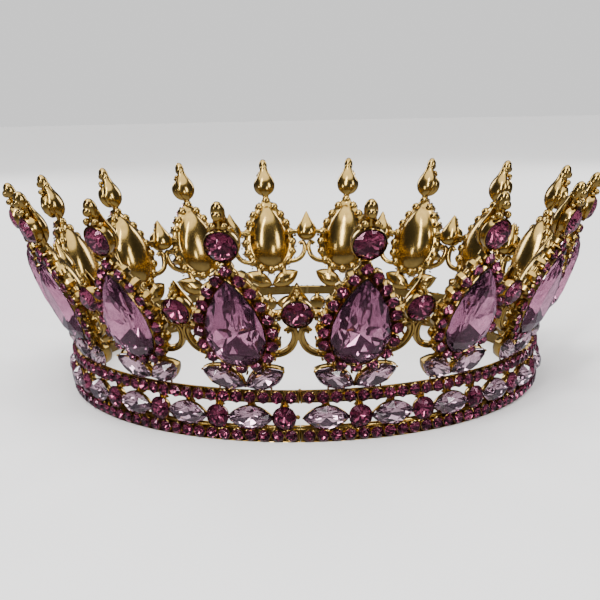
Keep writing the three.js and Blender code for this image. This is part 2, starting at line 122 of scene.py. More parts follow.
# ---------- mesh shop ----------
def volume(verts, faces):
    """Volume that closed faces hold; it is negative where they point inwards."""
    p = np.array(verts, float)
    fans = np.array([(f[0], a, b) for f in faces for a, b in zip(f[1:], f[2:])])
    normals = np.cross(p[fans[:, 1]], p[fans[:, 2]])
    return float(np.einsum("ij,ij->i", p[fans[:, 0]], normals).sum()) / 6


def put(name, data):
    """Puts a mesh, light or camera in the scene, as an object at the origin."""
    ob = bpy.data.objects.new(name, data)
    bpy.context.scene.collection.objects.link(ob)
    return ob


class Shape:
    """Collects vertices and faces, in millimetres, and marks the faces that are foiled."""

    def __init__(self):
        self.v, self.f, self.foil = [], [], []

    def add(self, verts, faces, foil=None):
        k = len(self.v)
        self.v += [tuple(p) for p in verts]
        self.f += [tuple(i + k for i in f) for f in faces]
        self.foil += foil or [False] * len(faces)

    def loft(self, rings):
        """Skin through rings of equal counts; each end closes on its own middle."""
        n = len(rings[0])
        last = (len(rings) - 1) * n
        verts = [p for ring in rings for p in ring]
        faces = []
        for first in range(0, last, n):
            for i in range(n):
                a, b = first + i, first + (i + 1) % n
                faces.append((a, b, b + n, a + n))
        for first, end, flip in ((0, rings[0], True), (last, rings[-1], False)):
            middle = len(verts)
            verts.append(tuple(np.mean(np.array(end, float), axis=0)))
            for i in range(n):
                a, b = first + i, first + (i + 1) % n
                faces.append((middle, b, a) if flip else (middle, a, b))
        if volume(verts, faces) <= 0:
            faces = [f[::-1] for f in faces]
        self.add(verts, faces)

    def stack(self, levels):
        """Outlines [(x, y), ...] at their own depths n."""
        self.loft([[(x, y, n) for x, y in line] for line, n in levels])

    def lathe(self, profile, segs):
        """Profile (radius, n) turned about the axis out of the face."""
        self.stack([(circle(r, segs), n) for r, n in profile])

    def finial(self, profile, segs, y0, n0):
        """Profile (radius, y) turned about the upward axis."""
        self.loft([[(x, y0 + up, n0 - z) for x, z in circle(r, segs)] for r, up in profile])

    def bulb(self, profile, segs, n0):
        """Profile (radius, y) turned about the upward axis, full behind and nearly flat in front."""
        behind, in_front = 0.62, 0.1
        rings = []
        for r, up in profile:
            rings.append([(x, up, n0 - z * (behind if z > 0 else in_front)) for x, z in circle(r, segs)])
        self.loft(rings)

    def ball(self, x, y, n, r, segs=12, squash=1.0):
        steps = max(2, segs // 2)
        rings = []
        for k in range(1, steps):
            a = math.pi * k / steps
            level = n - r * math.cos(a) * squash
            rings.append([(x + p, y + q, level) for p, q in circle(r * math.sin(a), segs)])
        self.loft(rings)

    def wire(self, path, radii, segs=12, deep=1.0):
        """Rounded bar along a path of (x, y, n), lying in the plane of x and y."""
        rings = []
        for i, (x, y, n) in enumerate(path):
            x0, y0, _ = path[max(i - 1, 0)]
            x1, y1, _ = path[min(i + 1, len(path) - 1)]
            d = math.hypot(x1 - x0, y1 - y0)
            sx, sy = -(y1 - y0) / d, (x1 - x0) / d
            rings.append([(x + sx * p * radii[i], y + sy * p * radii[i], n + q * radii[i] * deep)
                          for p, q in circle(1.0, segs)])
        self.loft(rings)

    def lift(self, dy):
        """Moves all that is drawn so far upwards."""
        self.v = [(x, y + dy, n) for x, y, n in self.v]

    def crystal(self, line, levels, culet=(0.0, 0.0), star=None):
        """Brilliant cut on an outline of 2k points about (0, 0).

        Levels give (scale, n) of the table, crown, girdle's top and foot, pavilion and culet. The culet may
        lie off the middle, and star gives (scale, n) of a second row of kites round it.
        """
        middle = (0.0, 0.0)
        count = len(line)
        k = count // 2
        even, odd = line[0::2], line[1::2]
        rows = [(odd, levels[0], middle), (even, levels[1], middle), (line, levels[2], middle),
                (line, levels[3], middle), (even, levels[4], culet), ([culet], levels[5], culet)]
        if star:
            rows.append((odd, star, culet))
        v = [(x, y, n) for pts, (scale, n), about in rows for x, y in drawn_in(pts, scale, *about)]
        table, crown, girdle, foot, pavilion, tip = 0, k, 2 * k, 4 * k, 6 * k, 7 * k
        kites = tip + 1
        f, foil = [tuple(range(k))], [False]
        for j in range(k):
            last_j, next_j = (j - 1) % k, (j + 1) % k
            at, after, before, beyond = 2 * j, 2 * j + 1, (2 * j - 1) % count, (2 * j + 2) % count
            f += [(table + last_j, crown + j, table + j),
                  (table + j, crown + j, girdle + after, crown + next_j),
                  (crown + j, girdle + before, girdle + at),
                  (crown + j, girdle + at, girdle + after)]
            foil += [False] * 4
            f += [(girdle + at, foot + at, foot + after, girdle + after),
                  (girdle + after, foot + after, foot + beyond, girdle + beyond),
                  (pavilion + j, foot + at, foot + before),
                  (pavilion + j, foot + after, foot + at),
                  (kites + j if star else tip, pavilion + next_j, foot + after, pavilion + j)]
            foil += [True] * 5
            if star:
                f.append((tip, kites + next_j, pavilion + next_j, kites + j))
                foil.append(True)
        self.add(v, f, foil)

    def chaton(self, r, n, table_share, table_n, girdle_n, foot_n, tip_n):
        """Small stone: table, crown, girdle and a pointed foiled back."""
        line = circle(r, n)
        v = [(x * table_share, y * table_share, table_n) for x, y in turned(line, math.pi / n)]
        v += [(x, y, girdle_n) for x, y in line]
        v += [(x, y, foot_n) for x, y in line]
        v.append((0, 0, tip_n))
        table, girdle, foot, tip = 0, n, 2 * n, 3 * n
        f, foil = [tuple(range(n))], [False]
        for i in range(n):
            j = (i + 1) % n
            f += [(table + i, girdle + j, table + j),
                  (table + i, girdle + i, girdle + j),
                  (girdle + i, foot + i, foot + j, girdle + j),
                  (tip, foot + j, foot + i)]
            foil += [False, False, True, True]
        self.add(v, f, foil)

    def stand(self, theta, base_r, dy, dn, tilt):
        """Moves the shape from its own plane to its place round the crown.

        It is raised by dy, brought out by dn, and slopes by tilt across and upwards.
        """
        z = np.array((0.0, 0.0, 1.0))
        out = np.array((math.sin(theta), -math.cos(theta), 0.0))
        across = np.array((math.cos(theta), math.sin(theta), 0.0))
        up = out * math.sin(LEAN) + z * math.cos(LEAN)
        front = out * math.cos(LEAN) - z * math.sin(LEAN)
        here = out * base_r + z * SETTING_Z
        self.v = [tuple(here + across * x + up * (y + dy) + front * (n + dn + x * tilt[0] + y * tilt[1]))
                  for x, y, n in self.v]

    def object(self, name, smooth=38.0, front=None, back=None):
        """Makes it a mesh. Edges under smooth degrees are shaded round, and 0 leaves every facet flat."""
        mesh = bpy.data.meshes.new(name)
        mesh.from_pydata([(x * MM, y * MM, z * MM) for x, y, z in self.v], [], self.f)
        if any(self.foil):
            mark = mesh.attributes.new("foil", "BOOLEAN", "FACE")
            mark.data.foreach_set("value", self.foil)
        if front:
            mesh.materials.append(front)
            mesh.materials.append(back)
            mesh.polygons.foreach_set("material_index", [int(x) for x in self.foil])
        mesh.update()
        if smooth:
            mesh.shade_smooth()
            mesh.set_sharp_from_angle(angle=math.radians(smooth))
        return put(name, mesh)


# ---------- nodes ----------
def fill(tree, n, inputs):
    """Fills a node's inputs, each with a plain value, an output, or the first output of another node."""
    for key, value in inputs.items():
        if isinstance(value, bpy.types.Node):
            value = value.outputs[0]
        if isinstance(value, bpy.types.NodeSocket):
            tree.links.new(value, n.inputs[key])
        else:
            n.inputs[key].default_value = value


def node(tree, kind, inputs=None, **settings):
    """Adds one node with its settings, and fills its inputs."""
    n = tree.nodes.new(kind)
    for key, value in settings.items():
        setattr(n, key, value)
    fill(tree, n, inputs or {})
    return n


# ---------- materials ----------
MIX_A, MIX_B, MIX_COLOUR = 6, 7, 2


def linear(hexa):
    """sRGB hex to linear rgba."""
    c = [int(hexa[i:i + 2], 16) / 255 for i in (1, 3, 5)]
    return [x / 12.92 if x <= 0.04045 else ((x + 0.055) / 1.055) ** 2.4 for x in c] + [1.0]


def material(name):
    """A new material, its tree, its shader, and the place on the piece that its patterns follow."""
    m = bpy.data.materials.new(name)
    m.use_nodes = True
    t = m.node_tree
    t.nodes.clear()
    shader = node(t, "ShaderNodeBsdfPrincipled")
    node(t, "ShaderNodeOutputMaterial", {"Surface": shader})
    return m, t, shader, node(t, "ShaderNodeTexCoord").outputs["Object"]


def gold_plate(name, light, body, hollow_shade, rough):
    """Thin gold colour over a polished casting: pale champagne metal with slightly rippled reflections.

    It has painted shade, brown in the hollows where pointiness is low, and it clouds over in patches.
    """
    cloud_size, grain_size, ripple = 2.5 * MM, 0.5 * MM, 0.05 * MM
    m, t, shader, place = material(name)
    cloud = node(t, "ShaderNodeTexNoise", {"Vector": place, "Scale": 1 / cloud_size, "Detail": 3.0})
    grain = node(t, "ShaderNodeTexNoise", {"Vector": place, "Scale": 1 / grain_size, "Detail": 2.0})
    edge = node(t, "ShaderNodeNewGeometry").outputs["Pointiness"]
    # Painted shade: where pointiness is low the colour is mixed from the body towards the dark brown of the
    # hollows.
    unshaded_share = node(t, "ShaderNodeMapRange", {"Value": edge, "From Min": 0.40, "From Max": 0.50})
    tone = node(t, "ShaderNodeMix", {0: unshaded_share, MIX_A: linear(hollow_shade), MIX_B: linear(body)},
                data_type="RGBA")
    worn = node(t, "ShaderNodeMix", {0: cloud, MIX_A: tone.outputs[MIX_COLOUR], MIX_B: linear(light)},
                data_type="RGBA")
    dull = node(t, "ShaderNodeMapRange", {"Value": grain, "To Min": rough * 0.6, "To Max": rough * 1.5})
    skin = node(t, "ShaderNodeBump", {"Height": grain, "Strength": 0.12, "Distance": ripple})
    fill(t, shader, {"Base Color": worn.outputs[MIX_COLOUR], "Metallic": 1.0, "Roughness": dull,
                     "Normal": skin})
    return m


def cut_glass(name, clear, deep, coat="#FFFFFF"):
    """Machine-cut lead glass: clean, sharp facets, with a colour that is a little uneven.

    The coat tints what the facets mirror, as the thin lustre on coloured stones does.
    """
    batch_size = 6.0 * MM
    m, t, shader, place = material(name)
    batch = node(t, "ShaderNodeTexNoise", {"Vector": place, "Scale": 1 / batch_size, "Detail": 1.0})
    mix = node(t, "ShaderNodeMix", {0: batch, MIX_A: linear(clear), MIX_B: linear(deep)}, data_type="RGBA")
    fill(t, shader, {"Base Color": mix.outputs[MIX_COLOUR], "Roughness": 0.0, "IOR": 1.5,
                     "Specular Tint": linear(coat), "Transmission Weight": 1.0})
    return m


def mirror_foil(name, bright, worn, metal):
    """Silvered and lacquered back of a crystal: a mirror behind the glass, cloudy in places."""
    cloud_size = 1.5 * MM
    m, t, shader, place = material(name)
    cloud = node(t, "ShaderNodeTexNoise", {"Vector": place, "Scale": 1 / cloud_size, "Detail": 2.0})
    mix = node(t, "ShaderNodeMix", {0: cloud, MIX_A: linear(bright), MIX_B: linear(worn)}, data_type="RGBA")
    dull = node(t, "ShaderNodeMapRange", {"Value": cloud, "To Min": 0.0, "To Max": 0.03})
    fill(t, shader, {"Base Color": mix.outputs[MIX_COLOUR], "Metallic": metal, "Roughness": dull})
    return m


# Polished zinc casting under thin gold: warm domes, with painted dark brown shade in the hollows between the
# beads.
GOLD = gold_plate("gold_plated_casting", "#B59857", "#8D713B", "#291A06", 0.17)
# Soft solder toned gold: greyer and duller than the casting, with the same kind of painted shade in its
# hollows.
SOLDER = gold_plate("gold_toned_solder", "#A8966A", "#7F6A40", "#3A2B12", 0.35)
# Light violet-pink glass of the pears: large clear windows beside dark ones.
LILAC = cut_glass("lilac_cut_glass", "#E8AECB", "#D892B4", "#C98FB0")
# Deep rose glass of the rounds and small stones: dark wine red with bright pink glints.
ROSE = cut_glass("rose_cut_glass", "#C47F9A", "#A25C79", "#D09AB0")
# Almost colourless glass of the navettes: icy, with a breath of pink.
PALE = cut_glass("pale_pink_cut_glass", "#EBD3DC", "#DCBAC8")
# Silver behind the lilac and pale glass: bright, with grey clouds.
FOIL = mirror_foil("silvered_foil", "#CDC1CA", "#92848D", 0.93)
# The same under a rose lacquer, behind the rose glass: a darker mirror that deepens the red.
ROSE_FOIL = mirror_foil("silvered_foil_rose", "#B08C9A", "#6E4E5E", 0.9)


# ---------- trees that repeat a shape ----------
def new_tree(name, sizes):
    """A tree that takes a shape and its named sizes, and the outputs of its input node."""
    t = bpy.data.node_groups.new(name, "GeometryNodeTree")
    t.is_modifier = True
    t.interface.new_socket("Geometry", in_out="OUTPUT", socket_type="NodeSocketGeometry")
    for label, kind in [("Geometry", "Geometry"), *sizes, ("Tilt", "Float"), ("Seed", "Int"),
                        ("Material", "Material"), ("Back Material", "Material")]:
        t.interface.new_socket(label, in_out="INPUT", socket_type="NodeSocket" + kind)
    return t, node(t, "NodeGroupInput").outputs


def finish_tree(t, given, placed):
    """Turns each instance a little, makes them real, and gives faces marked as foil their own material."""
    low = node(t, "ShaderNodeMath", {0: given["Tilt"], 1: -1.0}, operation="MULTIPLY")
    shake = node(t, "FunctionNodeRandomValue", {0: low, 1: given["Tilt"], "Seed": given["Seed"]},
                 data_type="FLOAT_VECTOR")
    nudge = node(t, "FunctionNodeEulerToRotation", {0: shake})
    loose = node(t, "GeometryNodeRotateInstances", {"Instances": placed, "Rotation": nudge})
    real = node(t, "GeometryNodeRealizeInstances", {"Geometry": loose})
    front = node(t, "GeometryNodeSetMaterial", {"Geometry": real, "Material": given["Material"]})
    mark = node(t, "GeometryNodeInputNamedAttribute", {"Name": "foil"}, data_type="BOOLEAN")
    back = node(t, "GeometryNodeSetMaterial", {"Geometry": front, "Selection": mark.outputs["Attribute"],
                                               "Material": given["Back Material"]})
    node(t, "NodeGroupOutput", {0: back})
    return t


def ring_tree():
    """Repeats a shape round both halves of the crown, each half counted from its own seam."""
    t, given = new_tree("ring_of_pieces", [
        ("Per Half", "Int"), ("First Angle", "Float"), ("Step Angle", "Float"), ("Radius", "Float"),
        ("Height", "Float"), ("Lean", "Float")])
    index = node(t, "GeometryNodeInputIndex")
    middle = node(t, "ShaderNodeMath", {0: index, 1: 0.5}, operation="ADD")
    share = node(t, "ShaderNodeMath", {0: middle, 1: given["Per Half"]}, operation="DIVIDE")
    half = node(t, "ShaderNodeMath", {0: share}, operation="FLOOR")
    counted = node(t, "ShaderNodeMath", {0: half, 1: given["Per Half"]}, operation="MULTIPLY")
    place = node(t, "ShaderNodeMath", {0: index, 1: counted}, operation="SUBTRACT")
    steps = node(t, "ShaderNodeMath", {0: place, 1: given["Step Angle"]}, operation="MULTIPLY")
    run = node(t, "ShaderNodeMath", {0: given["First Angle"], 1: steps}, operation="ADD")
    seam = node(t, "ShaderNodeMath", {0: half, 1: math.pi}, operation="MULTIPLY")
    angle = node(t, "ShaderNodeMath", {0: seam, 1: run}, operation="SUBTRACT")
    sine = node(t, "ShaderNodeMath", {0: angle}, operation="SINE")
    cosine = node(t, "ShaderNodeMath", {0: angle}, operation="COSINE")
    forwards = node(t, "ShaderNodeMath", {0: cosine, 1: -1.0}, operation="MULTIPLY")
    x = node(t, "ShaderNodeMath", {0: given["Radius"], 1: sine}, operation="MULTIPLY")
    y = node(t, "ShaderNodeMath", {0: given["Radius"], 1: forwards}, operation="MULTIPLY")
    spot = node(t, "ShaderNodeCombineXYZ", {0: x, 1: y, 2: given["Height"]})
    both = node(t, "ShaderNodeMath", {0: given["Per Half"], 1: 2.0}, operation="MULTIPLY")
    points = node(t, "GeometryNodePoints", {"Count": both, "Position": spot})
    upright = node(t, "ShaderNodeMath", {0: given["Lean"], 1: math.pi / 2}, operation="ADD")
    euler = node(t, "ShaderNodeCombineXYZ", {0: upright, 2: angle})
    facing = node(t, "FunctionNodeEulerToRotation", {0: euler})
    placed = node(t, "GeometryNodeInstanceOnPoints",
                  {"Points": points, "Instance": given["Geometry"], "Rotation": facing})
    return finish_tree(t, given, placed)


def line_tree():
    """Sets a shape at even steps along a closed line in the setting's own plane."""
    t, given = new_tree("pieces_along_line", [("Line", "Object"), ("Count", "Int")])
    info = node(t, "GeometryNodeObjectInfo", {"Object": given["Line"]})
    curve = node(t, "GeometryNodeMeshToCurve", {"Mesh": info.outputs["Geometry"]})
    even = node(t, "GeometryNodeResampleCurve", {"Curve": curve, "Count": given["Count"]})
    run = node(t, "GeometryNodeInputTangent")
    facing = node(t, "FunctionNodeAlignRotationToVector", {"Vector": run}, axis="X", pivot_axis="Z")
    placed = node(t, "GeometryNodeInstanceOnPoints",
                  {"Points": even, "Instance": given["Geometry"], "Rotation": facing})
    return finish_tree(t, given, placed)


RING, LINE = ring_tree(), line_tree()


def run_tree(shape_object, tree, name, values):
    """Runs a tree on a shape and keeps the result as a plain mesh."""
    mod = shape_object.modifiers.new("repeat", "NODES")
    mod.node_group = tree
    for item in tree.interface.items_tree:
        if item.in_out == "INPUT" and item.name in values:
            mod[item.identifier] = values[item.name]
    shape_object.update_tag()
    bpy.context.view_layer.update()
    deps = bpy.context.evaluated_depsgraph_get()
    mesh = bpy.data.meshes.new_from_object(shape_object.evaluated_get(deps))
    mesh.name = name
    shape_object.modifiers.remove(mod)
    bpy.data.objects.remove(shape_object)
    return put(name, mesh)


def ring(shape_object, name, row, radius, height, lean, mat, back=None, tilt=0.0, seed=0):
    """One row round the crown. Each piece turns by up to tilt degrees at random."""
    per_half, first, step = row
    return run_tree(shape_object, RING, name, {
        "Per Half": per_half, "First Angle": math.radians(first), "Step Angle": math.radians(step),
        "Radius": radius * MM, "Height": height * MM, "Lean": lean, "Tilt": math.radians(tilt),
        "Seed": seed, "Material": mat, "Back Material": back or mat})


def settings(shape_object, name, mat, back=None):
    """One for each pear setting, on its leaning plane."""
    return ring(shape_object, name, SETTING_ROW, SETTING_R, SETTING_Z, LEAN, mat, back)


def along(shape_object, name, pts, count, mat, back=None, tilt=0.0, seed=0):
    """Pieces at even steps along a closed line. Each turns by up to tilt degrees at random."""
    mesh = bpy.data.meshes.new("line")
    edges = [(i, (i + 1) % len(pts)) for i in range(len(pts))]
    mesh.from_pydata([(x * MM, y * MM, 0.0) for x, y in pts], edges, [])
    line = put("line", mesh)
    ob = run_tree(shape_object, LINE, name, {
        "Line": line, "Count": count, "Tilt": math.radians(tilt), "Seed": seed,
        "Material": mat, "Back Material": back or mat})
    bpy.data.objects.remove(line)
    return ob


# ---------- pear settings ----------
RIM_POINTS = 72


def halo_line(out, shift=0.0):
    """Line through the halo stones, moved outwards, starting a share of a stone's step past the top."""
    fine_points, points = 720, 216
    fine = pear(HALO_W + 2 * out, HALO_L + 2 * out, fine_points, HALO_Y)
    fine.append(fine[0])
    seg = [math.dist(a, b) for a, b in zip(fine, fine[1:])]
    run = np.concatenate([[0], np.cumsum(seg)])
    want = (np.arange(points) / points + shift / HALO_STONES) % 1.0 * run[-1]
    xs = np.interp(want, run, [x for x, _ in fine])
    ys = np.interp(want, run, [y for _, y in fine])
    return list(zip(xs, ys))


def egg(k):
    """Outline of the domed back: the pear at its rim, evened out to an oval at its top."""
    even = min(1.0, 1.25 - 0.9 * k)
    drop = pear(PEAR_W, PEAR_L, RIM_POINTS)
    oval = turned(circle(1.0, RIM_POINTS), math.pi / 2)
    return [(k * (a * (1 - even) + x * even * PEAR_W / 2),
             PEAR_Y + k * (b * (1 - even) + y * even * PEAR_L / 2)) for (a, b), (x, y) in zip(drop, oval)]


def pear_setting():
    """From the floor under the stone, over the lip and out to the halo's flange, then the domed back."""
    shape = Shape()
    levels = []
    for w, l, n in ((PEAR_W * 0.5, PEAR_L * 0.5, -3.9), (PEAR_W * 0.8, PEAR_L * 0.8, -2.2),
                    (PEAR_W - 0.1, PEAR_L, 0.9), (PEAR_W, PEAR_L + 0.2, 2.0),
                    (PEAR_W + 0.3, PEAR_L + 0.6, 2.2), (PEAR_W + 0.6, PEAR_L + 1.1, 1.95),
                    (PEAR_W + 0.7, PEAR_L + 1.2, 0.4)):
        levels.append((pear(w, l, RIM_POINTS, PEAR_Y), n))
    for more, n in ((0.4, 0.4), (1.7, 0.0), (1.8, -0.7), (1.2, -1.1)):
        levels.append((pear(HALO_W + more, HALO_L + more, RIM_POINTS, HALO_Y), n))
    for k, depth in ((1.06, 1.35), (1.0, 1.5), (0.95, 1.9), (0.88, 2.6), (0.8, 3.2), (0.68, 3.85),
                     (0.54, 4.35), (0.4, 4.7), (0.25, 4.9), (0.1, 5.0)):
        levels.append((egg(k), -depth))
    shape.stack(levels)
    return shape


def halo_cup():
    shape = Shape()
    shape.lathe([(0.6, -1.95), (1.3, -1.65), (1.7, -1.0), (1.68, 0.8), (1.45, 1.35), (0.7, 0.25)], 8)
    return shape


def halo_claw():
    shape = Shape()
    shape.lathe([(0.25, 0.5), (0.32, 1.4), (0.26, 1.75), (0.1, 1.9)], 6)
    return shape


def halo_stone():
    shape = Shape()
    shape.chaton(1.58, 8, table_share=0.56, table_n=2.4, girdle_n=1.7, foot_n=1.55, tip_n=0.5)
    return shape


def pear_crystal(k):
    """The pear of setting k, a little askew as a hand-set stone is."""
    shape = Shape()
    shape.crystal(pear(PEAR_W, PEAR_L, 16),
                  [(0.66, 2.3), (0.86, 1.45), (1.0, 0.15), (1.0, 0.0), (0.62, -1.6), (0, -3.6)],
                  culet=(0.0, -3.9), star=(0.34, -2.25))
    shape.stand(math.radians(SETTING_STEP * k + SETTING_STEP / 2), SETTING_R, PEAR_Y, 2.25,
                (0.02 * math.sin(3.1 * k), 0.015 * math.cos(4.7 * k)))
    return shape


settings(pear_setting().object("plate", 50), "gold_pear_settings", GOLD)
cups = along(halo_cup().object("cup"), "cups", halo_line(0.0), HALO_STONES, GOLD)
settings(cups, "gold_halo_cups", GOLD)
claws = along(halo_claw().object("claw"), "claws", halo_line(1.65, 0.25), 2 * HALO_STONES, GOLD)
settings(claws, "gold_halo_claws", GOLD)
halo = along(halo_stone().object("chaton", 0), "halo", halo_line(0.0), HALO_STONES, ROSE, ROSE_FOIL, 5.0, 3)
settings(halo, "halo_stones", ROSE, ROSE_FOIL)
for k in range(2 * SETTINGS_PER_HALF):
    pear_crystal(k).object(f"pear_crystal_look_{k + 1:02d}", 0, LILAC, FOIL)

# ---------- crests ----------
ROUND_CUT = [(0.5, 1.6), (0.78, 1.1), (1.0, 0.15), (1.0, 0.0), (0.55, -1.3), (0, -2.1)]


def crest():
    """Bezel with a full back, on a neck, under a finial with beads."""
    shape = Shape()
    shape.lathe([(1.0, -1.2), (3.0, -0.6), (3.9, 0.4), (3.97, 1.35), (4.08, 1.6), (4.22, 1.5), (4.27, 1.1),
                 (4.15, -0.1), (3.8, -0.8), (3.0, -1.25), (1.0, -1.35)], 32)
    shape.bulb([(0.9, -5.0), (1.5, -4.6), (2.5, -3.8), (3.35, -2.7), (3.85, -1.3), (3.95, 0.0), (3.7, 1.3),
                (3.15, 2.6), (2.5, 3.7), (1.95, 4.8), (1.65, 5.9)], 28, -1.2)
    shape.lift(CREST_Y)
    halo_top = HALO_Y + HALO_L / 2
    shape.wire([(0, halo_top - 0.5, -0.5), (0, halo_top + 1.2, -0.5), (0, CREST_Y - 4.6, -0.6),
                (0, CREST_Y - 3.2, -0.8)], [1.1, 1.15, 1.3, 2.0], 16, 0.8)
    for side in (-1, 1):
        shape.ball(side * 1.3, CREST_Y + 5.2, 1.15, 0.92, 14)
        shape.ball(side * 2.3, CREST_Y + 4.2, 0.5, 0.65, 10)
    shape.ball(0, CREST_Y + 6.4, -0.75, 1.55, 16)
    shape.ball(0, CREST_Y + 7.7, 0.75, 1.3, 18)
    shape.finial([(1.2, 3.0), (1.35, 4.2), (1.2, 5.2), (1.3, 6.2), (1.6, 7.1), (1.68, 8.0), (1.55, 8.9),
                  (1.3, 9.6), (0.95, 10.15), (0.5, 10.5), (0.15, 10.6)], 18, CREST_Y, -0.35)
    return shape


def crest_crystal(k):
    """The round of crest k, with its facets turned their own way."""
    shape = Shape()
    shape.crystal(turned(circle(CREST_R, 16), 0.3 * k), ROUND_CUT)
    shape.stand(math.radians(SETTING_STEP * k + SETTING_STEP / 2), SETTING_R, CREST_Y, 1.45,
                (0.03 * math.sin(2.3 * k), 0.03 * math.cos(3.9 * k)))
    return shape


settings(crest().object("crest"), "gold_crests", GOLD)
for k in range(2 * SETTINGS_PER_HALF):
    crest_crystal(k).object(f"crest_round_crystal_look_{k + 1:02d}", 0, ROSE, ROSE_FOIL)

# ---------- leaves ----------
NAVETTE_CUT = [(0.5, 1.8), (0.8, 1.15), (1.0, 0.12), (1.0, 0.0), (0.5, -0.85), (0, -1.35)]


def leaf_placed(pts, side):
    """Points of a leaf that lies along x, moved to its place under one side of a setting."""
    return turned(pts, side * LEAF_TILT, side * LEAF_X, LEAF_Y)


def leaf_seats():
    """The two leaves under a setting, with four prongs each and the bars behind them."""
    shape = Shape()
    for side in (-1, 1):
        shape.stack([(leaf_placed(navette(LEAF_L * k, LEAF_W * k, 28), side), n) for k, n in (
            (0.4, -1.0), (0.88, -0.2), (0.94, 0.75), (0.98, 0.92), (1.01, 0.75), (1.0, -0.3), (0.92, -1.2),
            (0.65, -1.9), (0.3, -2.2))])
        tip, edge = side * LEAF_L / 2, (LEAF_W + 0.3) / 2
        for x, y in leaf_placed([(-tip, 0), (tip, 0), (0, edge), (0, -edge)], side):
            shape.ball(x, y, 1.05, 0.32, 8)
        shape.wire([(side * 4.9, -0.9, -1.6), (side * 4.9, 1.4, -0.7), (side * 5.1, 3.4, -0.4),
                    (side * 5.2, 5.6, -0.4)], [1.1, 0.95, 0.95, 1.1], 12, 0.8)
        shape.wire([(side * 3.6, -2.2, -1.6), (side * 3.4, -4.4, -0.9), (side * 3.4, -5.4, 0.0)],
                   [1.2, 0.95, 1.1], 12)
    return shape


def leaf_crystal(side):
    shape = Shape()
    shape.crystal(navette(LEAF_L, LEAF_W, 12), NAVETTE_CUT)
    pts = leaf_placed([(x, y) for x, y, _ in shape.v], side)
    shape.v = [(x, y, n + 0.95) for (x, y), (_, _, n) in zip(pts, shape.v)]
    return shape


settings(leaf_seats().object("leaf"), "gold_leaf_seats", GOLD)
for side, label in ((-1, "a"), (1, "b")):
    settings(leaf_crystal(side).object("leaf_" + label, 0), "leaf_crystals_" + label, PALE, FOIL)

# ---------- links ----------
# Curved leg of a link, from its curl under the stone to its foot: x, y down from the stone, half width.
LEG = ((2.9, 5.5, 0.55), (2.0, 4.6, 0.7), (1.1, 4.9, 0.8), (0.72, 6.2, 0.85), (0.75, 7.6, 0.9),
       (1.15, 9.2, 0.92), (2.0, 10.7, 0.9), (3.3, 11.8, 0.85), (4.9, 12.4, 0.8), (6.6, 12.5, 0.7))
LEG_STEPS = 40


def link_leg(shape, side):
    """A leg with a rounded ridge along each edge, which leaves a groove between them."""
    fine, given = np.linspace(0, len(LEG) - 1, LEG_STEPS), range(len(LEG))
    xs = np.interp(fine, given, [side * x for x, _, _ in LEG])
    ys = np.interp(fine, given, [LINK_Y - y for _, y, _ in LEG])
    widths = np.interp(fine, given, [w for _, _, w in LEG])
    for _ in range(3):
        xs[1:-1] = (xs[:-2] + xs[1:-1] + xs[2:]) / 3
        ys[1:-1] = (ys[:-2] + ys[1:-1] + ys[2:]) / 3
    shape.wire([(x, y, -0.1) for x, y in zip(xs, ys)], widths, 14, 0.75)
    dx, dy = np.gradient(xs), np.gradient(ys)
    size = np.hypot(dx, dy)
    for shift in (-0.46, 0.46):
        shape.wire([(x - b / c * shift, y + a / c * shift, 0.5)
                    for x, y, a, b, c in zip(xs, ys, dx, dy, size)], [0.42] * LEG_STEPS, 8, 1.3)


def link():
    """Bezel with a full back, two legs, two arms to the settings beside it, and a beaded tip."""
    shape = Shape()
    shape.lathe([(1.0, -1.2), (2.8, -0.6), (3.7, 0.4), (3.78, 1.35), (3.88, 1.58), (4.0, 1.5), (4.05, 1.1),
                 (3.9, -0.2), (3.5, -0.9), (2.8, -1.2), (1.0, -1.3)], 28)
    shape.bulb([(0.6, -4.2), (1.9, -3.9), (3.0, -3.1), (3.65, -1.8), (3.75, -0.3), (3.35, 1.3), (2.55, 2.8),
                (1.75, 4.2), (1.1, 5.5), (0.55, 6.7), (0.15, 7.4)], 24, -1.2)
    shape.lift(LINK_Y)
    for side in (-1, 1):
        link_leg(shape, side)
        shape.wire([(side * 3.0, LINK_Y - 0.4, -0.3), (side * 4.6, LINK_Y - 0.6, -0.2),
                    (side * 6.2, LINK_Y - 0.9, -0.3)], [1.1, 0.9, 1.1], 12)
        shape.ball(side * 4.45, LINK_Y - 0.4, 0.5, 0.75, 12)
        shape.ball(side * 4.5, LINK_Y - 1.9, 0.4, 0.55, 10)
    for x, up, r in ((-0.72, 4.3, 0.66), (0.72, 4.3, 0.66), (0, 5.35, 0.72), (0, 6.4, 0.45)):
        shape.ball(x, LINK_Y + up, 0.9, r, 12)
    shape.finial([(0.8, 3.2), (1.0, 4.4), (0.85, 5.4), (0.6, 6.3), (0.3, 7.1), (0.1, 7.3)], 14, LINK_Y, -0.3)
    return shape


def link_crystal(k):
    """The round of link k, cut a little flatter than a crest's."""
    shape = Shape()
    shape.crystal(turned(circle(LINK_STONE_R, 16), 0.4 * k), [(share, n * 0.92) for share, n in ROUND_CUT])
    shape.stand(math.radians(SETTING_STEP * k), LINK_R, LINK_Y, 1.45,
                (0.04 * math.sin(2.9 * k), 0.03 * math.cos(3.3 * k)))
    return shape


ring(link().object("link"), "gold_links", LINK_ROW, LINK_R, SETTING_Z, LEAN, GOLD)
for k in range(2 * SETTINGS_PER_HALF):
    link_crystal(k).object(f"link_round_crystal_look_{k + 1:02d}", 0, ROSE, ROSE_FOIL)


